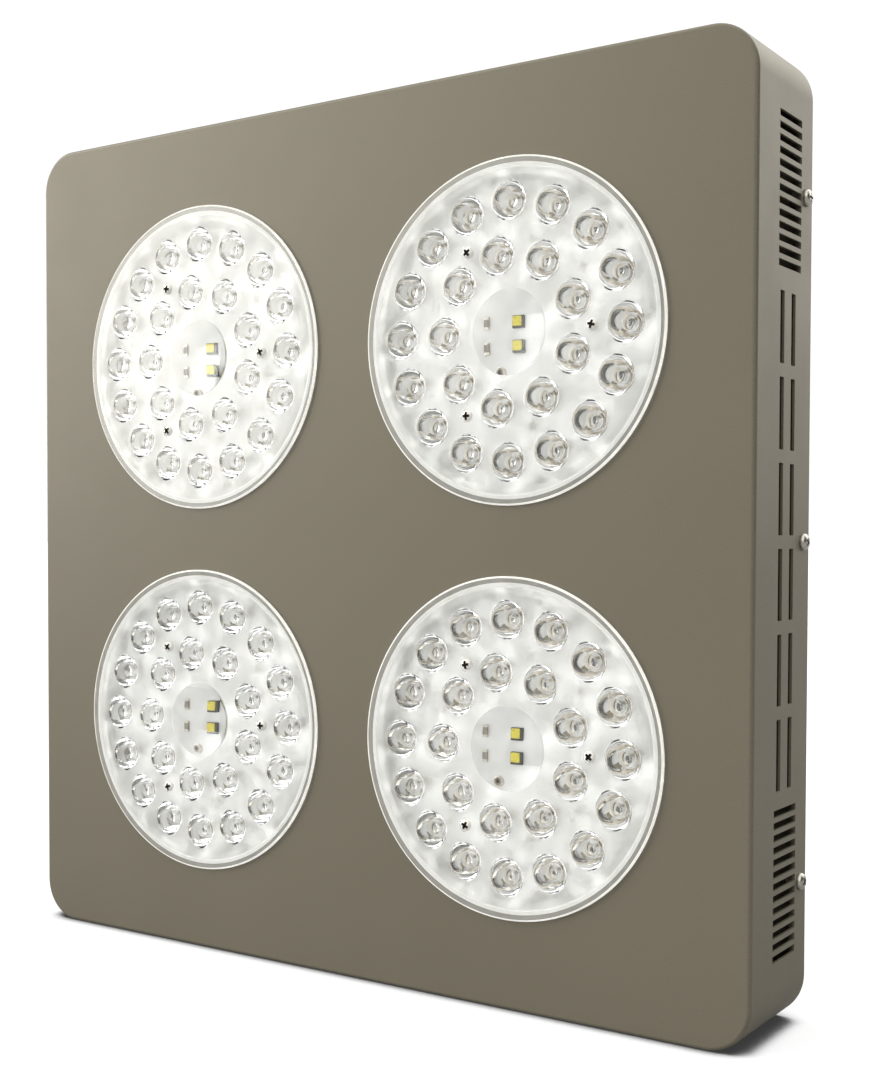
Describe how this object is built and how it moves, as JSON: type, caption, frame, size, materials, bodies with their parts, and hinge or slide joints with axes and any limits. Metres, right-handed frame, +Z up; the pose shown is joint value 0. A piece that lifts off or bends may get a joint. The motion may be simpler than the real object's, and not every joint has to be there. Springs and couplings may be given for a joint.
{
  "type": "led grow light",
  "caption": "Square hanging grow light: grey sheet-metal case with round clear lens modules in front, heat sinks, cooling fans, guards and hanger rings behind.",
  "frame": {"origin": "centre of the lower wall's outer face, which the light stands on in the picture", "axes": "+X right seen from the front, +Y from the lens side into the case towards the rear cover, +Z up as it stands on its lower wall"},
  "size_m": [0.4514, 0.0755, 0.4565],
  "materials": {
    "case": "warm grey satin powder coat",
    "cover": "warm grey satin powder coat",
    "lens": "clear moulded acrylic",
    "gasket": "white silicone",
    "small_screw": "zinc plated",
    "board": "white solder mask on an aluminium core",
    "heat_sink": "machined and tumbled",
    "fan_frame": "black moulded",
    "fan_rotor": "black moulded",
    "guard": "bright plated wire",
    "cover_screw": "nickel plated",
    "hanger_ring": "bright plated wire",
    "driver": "anodised",
    "inlet": "black moulded",
    "fuse_drawer": "black moulded",
    "switch_body": "black moulded",
    "rocker": "red moulded"
  },
  "bodies": {
    "luminaire": {"front_housing": "case", "rear_cover": "cover", "lens_plate_ul": "lens", "lens_gasket_ul": "gasket", "lens_screw_ul_1": "small_screw", "lens_screw_ul_2": "small_screw", "lens_screw_ul_3": "small_screw", "led_board_ul": "board", "heat_sink_ul": "heat_sink", "fan_frame_ul": "fan_frame", "fan_guard_ul": "guard", "lens_plate_ur": "lens", "lens_gasket_ur": "gasket", "lens_screw_ur_1": "small_screw", "lens_screw_ur_2": "small_screw", "lens_screw_ur_3": "small_screw", "led_board_ur": "board", "heat_sink_ur": "heat_sink", "fan_frame_ur": "fan_frame", "fan_guard_ur": "guard", "lens_plate_ll": "lens", "lens_gasket_ll": "gasket", "lens_screw_ll_1": "small_screw", "lens_screw_ll_2": "small_screw", "lens_screw_ll_3": "small_screw", "led_board_ll": "board", "heat_sink_ll": "heat_sink", "fan_frame_ll": "fan_frame", "fan_guard_ll": "guard", "lens_plate_lr": "lens", "lens_gasket_lr": "gasket", "lens_screw_lr_1": "small_screw", "lens_screw_lr_2": "small_screw", "lens_screw_lr_3": "small_screw", "led_board_lr": "board", "heat_sink_lr": "heat_sink", "fan_frame_lr": "fan_frame", "fan_guard_lr": "guard", "cover_screw_left_1": "cover_screw", "cover_screw_left_2": "cover_screw", "cover_screw_left_3": "cover_screw", "cover_screw_right_1": "cover_screw", "cover_screw_right_2": "cover_screw", "cover_screw_right_3": "cover_screw", "led_driver_front": "driver", "led_driver_rear": "driver", "power_inlet": "inlet", "switch_body_1": "switch_body", "switch_body_2": "switch_body"},
    "rotor_ul": {"fan_rotor_ul": "fan_rotor"},
    "rotor_ur": {"fan_rotor_ur": "fan_rotor"},
    "rotor_ll": {"fan_rotor_ll": "fan_rotor"},
    "rotor_lr": {"fan_rotor_lr": "fan_rotor"},
    "ring_ul": {"hanger_ring_ul": "hanger_ring"},
    "ring_ur": {"hanger_ring_ur": "hanger_ring"},
    "ring_ll": {"hanger_ring_ll": "hanger_ring"},
    "ring_lr": {"hanger_ring_lr": "hanger_ring"},
    "rocker_1": {"switch_rocker_1": "rocker"},
    "rocker_2": {"switch_rocker_2": "rocker"},
    "fuse_tray": {"fuse_drawer": "fuse_drawer"}
  },
  "joints": [
    {"name": "fan_spin_ul", "type": "hinge", "parent": "luminaire", "child": "rotor_ul", "pos_m": [-0.099, 0.017, 0.3248], "axis": [0, 1, 0], "continuous": true},
    {"name": "fan_spin_ur", "type": "hinge", "parent": "luminaire", "child": "rotor_ur", "pos_m": [0.099, 0.017, 0.3248], "axis": [0, 1, 0], "continuous": true},
    {"name": "fan_spin_ll", "type": "hinge", "parent": "luminaire", "child": "rotor_ll", "pos_m": [-0.099, 0.017, 0.1262], "axis": [0, 1, 0], "continuous": true},
    {"name": "fan_spin_lr", "type": "hinge", "parent": "luminaire", "child": "rotor_lr", "pos_m": [0.099, 0.017, 0.1262], "axis": [0, 1, 0], "continuous": true},
    {"name": "ring_swing_ul", "type": "hinge", "parent": "luminaire", "child": "ring_ul", "pos_m": [-0.178, 0.0355, 0.4015], "axis": [1, 0, 0], "range_deg": [0, 180]},
    {"name": "ring_swing_ur", "type": "hinge", "parent": "luminaire", "child": "ring_ur", "pos_m": [0.178, 0.0355, 0.4015], "axis": [1, 0, 0], "range_deg": [0, 180]},
    {"name": "ring_swing_ll", "type": "hinge", "parent": "luminaire", "child": "ring_ll", "pos_m": [-0.178, 0.0355, 0.0615], "axis": [1, 0, 0], "range_deg": [0, 180]},
    {"name": "ring_swing_lr", "type": "hinge", "parent": "luminaire", "child": "ring_lr", "pos_m": [0.178, 0.0355, 0.0615], "axis": [1, 0, 0], "range_deg": [0, 180]},
    {"name": "switch_rock_1", "type": "hinge", "parent": "luminaire", "child": "rocker_1", "pos_m": [0.06, 0, 0.45], "axis": [0, -1, 0], "range_deg": [0, 18]},
    {"name": "switch_rock_2", "type": "hinge", "parent": "luminaire", "child": "rocker_2", "pos_m": [0.086, 0, 0.45], "axis": [0, -1, 0], "range_deg": [0, 18]},
    {"name": "fuse_drawer_slide", "type": "slide", "parent": "luminaire", "child": "fuse_tray", "axis": [0, 0, 1], "range_m": [0, 0.013]}
  ]
}
